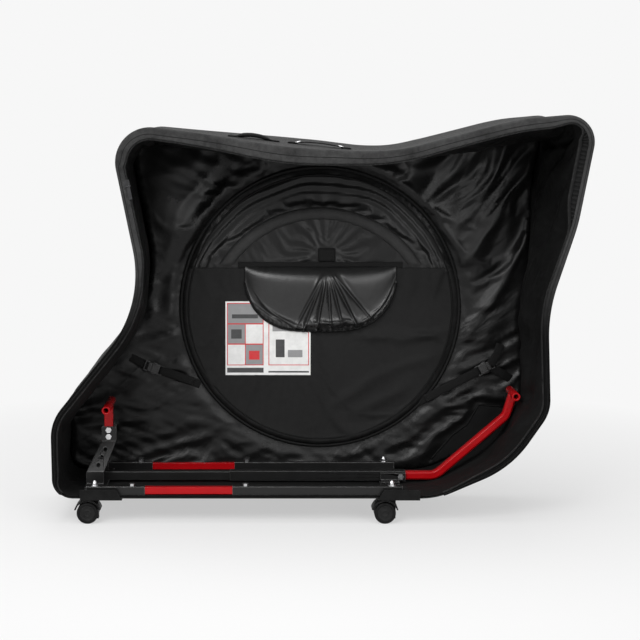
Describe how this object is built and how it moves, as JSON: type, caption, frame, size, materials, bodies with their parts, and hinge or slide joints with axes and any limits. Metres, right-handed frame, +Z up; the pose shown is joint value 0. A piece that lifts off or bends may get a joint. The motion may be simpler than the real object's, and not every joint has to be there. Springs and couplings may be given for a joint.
{
  "type": "bike travel case",
  "caption": "Soft-sided bike travel case, opened on one side, with a wheel pocket inside and a steel stand on swivel casters that holds a bike frame by its axles.",
  "frame": {"origin": "on the ground under the middle of the case", "axes": "+X to the front of the bike that it holds, -Y to the open side, +Z up"},
  "size_m": [1.2188, 0.4092, 0.9382],
  "materials": {
    "shell_fabric": "charcoal woven shell fabric, coated",
    "rim_fabric": "dark grey woven border tape",
    "zip_teeth": "black moulded teeth",
    "zip_metal": "black enamelled zinc",
    "lining_nylon": "black lining nylon with a soft sheen",
    "pocket_fabric": "matte dark grey padded fabric",
    "webbing": "black ribbed webbing",
    "card": "white printed sheet with plain blocks",
    "black_plastic": "black moulded plastic, fine grain",
    "wheel_plastic": "black hard wheel plastic",
    "bright_steel": "zinc plated",
    "black_paint": "black powder coat, satin",
    "red_paint": "red powder coat, satin"
  },
  "bodies": {
    "case": {"caster_nuts": "bright_steel", "caster_stems": "bright_steel", "clamp_screw": "bright_steel", "far_front_rail": "black_paint", "far_rear_rail": "black_paint", "far_side_panel": "shell_fabric", "far_spine_bracket": "black_paint", "far_splice_tube": "red_paint", "far_tower_plate": "black_paint", "floor_panel": "shell_fabric", "front_cross_plate": "black_paint", "front_gusset": "shell_fabric", "front_shoes": "black_plastic", "gathered_pouch": "lining_nylon", "hub_patch": "webbing", "inner_strap_buckles": "black_plastic", "inner_straps": "webbing", "near_front_rail": "black_paint", "near_rear_rail": "black_paint", "near_spine_bracket": "black_paint", "near_splice_tube": "red_paint", "near_tower_plate": "black_paint", "packing_card": "card", "pocket_lower_panel": "pocket_fabric", "pocket_ring": "pocket_fabric", "pocket_strap": "webbing", "rail_end_plugs": "black_plastic", "rear_axle_sleeve": "red_paint", "rear_cross_plate": "black_paint", "rear_gusset": "shell_fabric", "rear_post": "red_paint", "rear_shoes": "black_plastic", "rim_border": "rim_fabric", "spine_front_tube": "black_paint", "spine_rear_tube": "black_paint", "splice_bolts": "bright_steel", "top_gusset": "shell_fabric", "top_handle": "webbing", "top_strap": "webbing", "top_strap_rings": "bright_steel", "tower_bolts": "bright_steel", "wheel_pocket": "lining_nylon", "zip_chain": "zip_teeth"},
    "near_rear_swivel": {"near_rear_housing": "black_plastic"},
    "near_rear_wheel_pair": {"near_rear_wheels": "wheel_plastic", "near_rear_axle": "bright_steel"},
    "near_front_swivel": {"near_front_housing": "black_plastic"},
    "near_front_wheel_pair": {"near_front_wheels": "wheel_plastic", "near_front_axle": "bright_steel"},
    "far_rear_swivel": {"far_rear_housing": "black_plastic"},
    "far_rear_wheel_pair": {"far_rear_wheels": "wheel_plastic", "far_rear_axle": "bright_steel"},
    "far_front_swivel": {"far_front_housing": "black_plastic"},
    "far_front_wheel_pair": {"far_front_wheels": "wheel_plastic", "far_front_axle": "bright_steel"},
    "fork_support": {"fork_tube": "red_paint", "fork_axle_sleeve": "red_paint"},
    "zip_slider": {"zip_slider": "zip_metal"},
    "zip_pull": {"zip_pull": "zip_metal"}
  },
  "joints": [
    {"name": "near_rear_swivel", "type": "hinge", "parent": "case", "child": "near_rear_swivel", "pos_m": [-0.515, -0.13, 0.05], "axis": [0, 0, 1], "continuous": true},
    {"name": "near_rear_roll", "type": "hinge", "parent": "near_rear_swivel", "child": "near_rear_wheel_pair", "pos_m": [-0.531, -0.13, 0.025], "axis": [0, 1, 0], "continuous": true},
    {"name": "near_front_swivel", "type": "hinge", "parent": "case", "child": "near_front_swivel", "pos_m": [0.175, -0.13, 0.05], "axis": [0, 0, 1], "continuous": true},
    {"name": "near_front_roll", "type": "hinge", "parent": "near_front_swivel", "child": "near_front_wheel_pair", "pos_m": [0.159, -0.13, 0.025], "axis": [0, 1, 0], "continuous": true},
    {"name": "far_rear_swivel", "type": "hinge", "parent": "case", "child": "far_rear_swivel", "pos_m": [-0.515, 0.13, 0.05], "axis": [0, 0, 1], "continuous": true},
    {"name": "far_rear_roll", "type": "hinge", "parent": "far_rear_swivel", "child": "far_rear_wheel_pair", "pos_m": [-0.531, 0.13, 0.025], "axis": [0, 1, 0], "continuous": true},
    {"name": "far_front_swivel", "type": "hinge", "parent": "case", "child": "far_front_swivel", "pos_m": [0.175, 0.13, 0.05], "axis": [0, 0, 1], "continuous": true},
    {"name": "far_front_roll", "type": "hinge", "parent": "far_front_swivel", "child": "far_front_wheel_pair", "pos_m": [0.159, 0.13, 0.025], "axis": [0, 1, 0], "continuous": true},
    {"name": "fork_support_slide", "type": "slide", "parent": "case", "child": "fork_support", "axis": [1, 0, 0], "range_m": [-0.05, 0]},
    {"name": "zip_slider_travel", "type": "slide", "parent": "case", "child": "zip_slider", "axis": [-0.19, -0.0609, 0.9799], "range_m": [-0.13, 0.02]},
    {"name": "zip_pull_swing", "type": "hinge", "parent": "zip_slider", "child": "zip_pull", "pos_m": [-0.42656, -0.19964, 0.78248], "axis": [-0.9818, 0.0118, -0.1896], "range_deg": [0, 160]}
  ]
}
